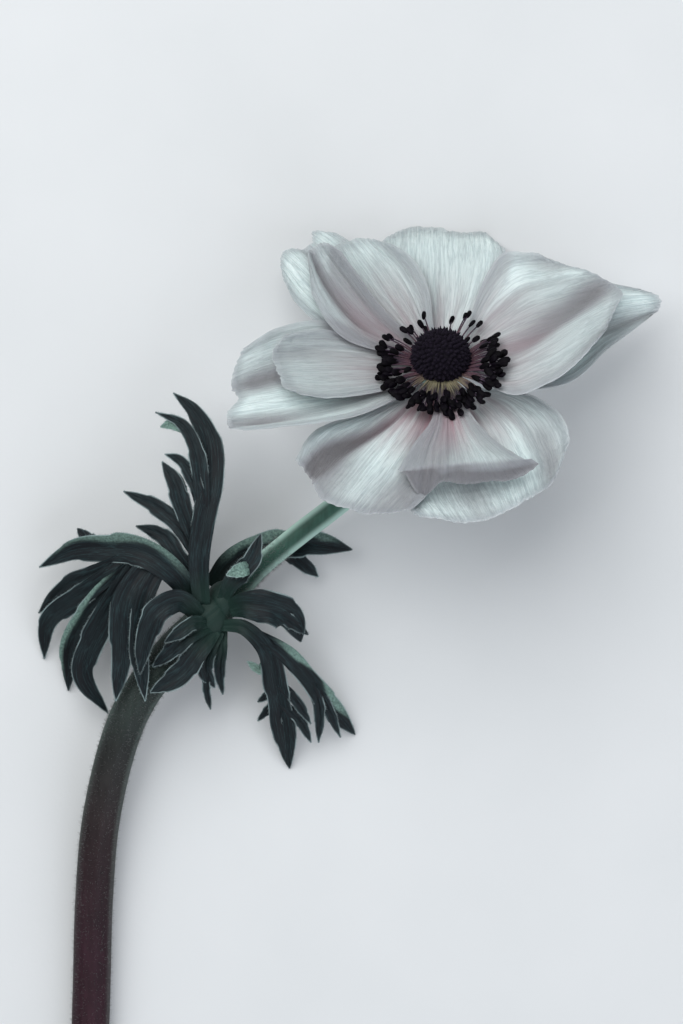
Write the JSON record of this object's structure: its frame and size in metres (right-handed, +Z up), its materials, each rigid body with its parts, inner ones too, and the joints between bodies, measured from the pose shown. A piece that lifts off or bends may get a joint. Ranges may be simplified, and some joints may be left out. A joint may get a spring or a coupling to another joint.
{
  "type": "cut flower",
  "caption": "Open anemone flower on a bent cut stem, with overlapping petals, dark stamens round a domed centre and a collar of drooping, deeply cut leaves.",
  "frame": {"origin": "bottom centre of the bounding box, on the table that the flower lies on", "axes": "+Z up from the table, +Y along the stem from its cut end to the bloom, +X to the bloom's right as it faces the viewer above"},
  "size_m": [0.127, 0.2092, 0.046],
  "materials": {
    "petal": "silky matt petal tissue, pale blue-grey white",
    "leaf": "dark leaf with fine pale hairs",
    "stem": "fleshy stem, maroon to pale green, finely hairy",
    "stamen": "blue-black anthers on cream to violet filaments",
    "carpel": "violet-black velvety carpels"
  },
  "bodies": {
    "root": {"stem": "stem", "leaf_left": "leaf", "leaf_right": "leaf", "leaf_front": "leaf", "petal_outer_right": "petal", "petal_outer_back": "petal", "petal_outer_back_left": "petal", "petal_outer_left": "petal", "petal_outer_front_left": "petal", "petal_outer_front_right": "petal", "petal_inner_right": "petal", "petal_inner_back": "petal", "petal_inner_back_left": "petal", "petal_inner_left": "petal", "petal_inner_front": "petal", "stamens": "stamen", "carpel_head": "carpel"}
  },
  "joints": []
}
